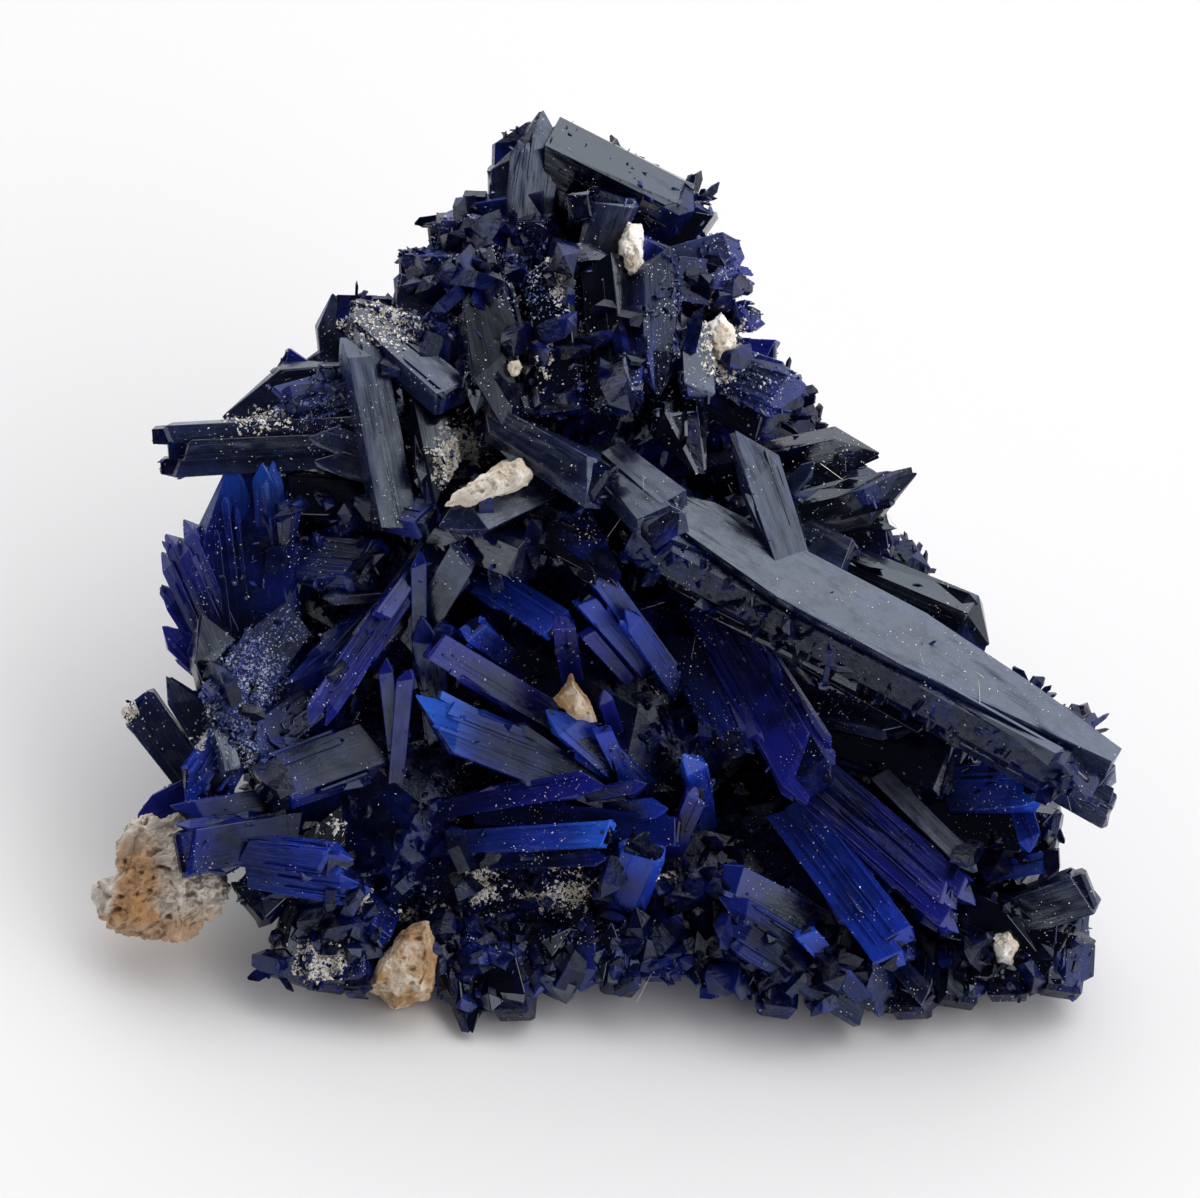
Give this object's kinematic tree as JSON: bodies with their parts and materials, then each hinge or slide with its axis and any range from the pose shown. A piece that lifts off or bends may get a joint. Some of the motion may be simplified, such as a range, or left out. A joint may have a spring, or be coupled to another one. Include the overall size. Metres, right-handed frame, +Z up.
{
  "type": "azurite specimen",
  "caption": "Mound of dark blue bladed azurite crystals grown together, with pale bits of host rock, resting on a flat base as a display mineral specimen.",
  "frame": {"origin": "middle of the specimen's box on its flat base, at the floor", "axes": "+X along the specimen's width to the viewer's right, +Y from the display face to the back, +Z up"},
  "size_m": [0.0618, 0.0478, 0.0305],
  "materials": {
    "azurite": "glassy, near-black to deep blue",
    "buff_rock": "dull, pitted, buff with orange-brown stains",
    "pale_rock": "dull, chalky, white to cream"
  },
  "bodies": {
    "root": {"azurite_crystals": "azurite", "matrix_lump": "buff_rock", "matrix_chip_saddle": "pale_rock", "matrix_chip_crown": "pale_rock", "matrix_crust_right": "pale_rock", "matrix_bead": "pale_rock", "matrix_chip_hollow": "pale_rock", "matrix_patch_hem": "pale_rock", "matrix_chip_tail": "pale_rock"}
  },
  "joints": []
}
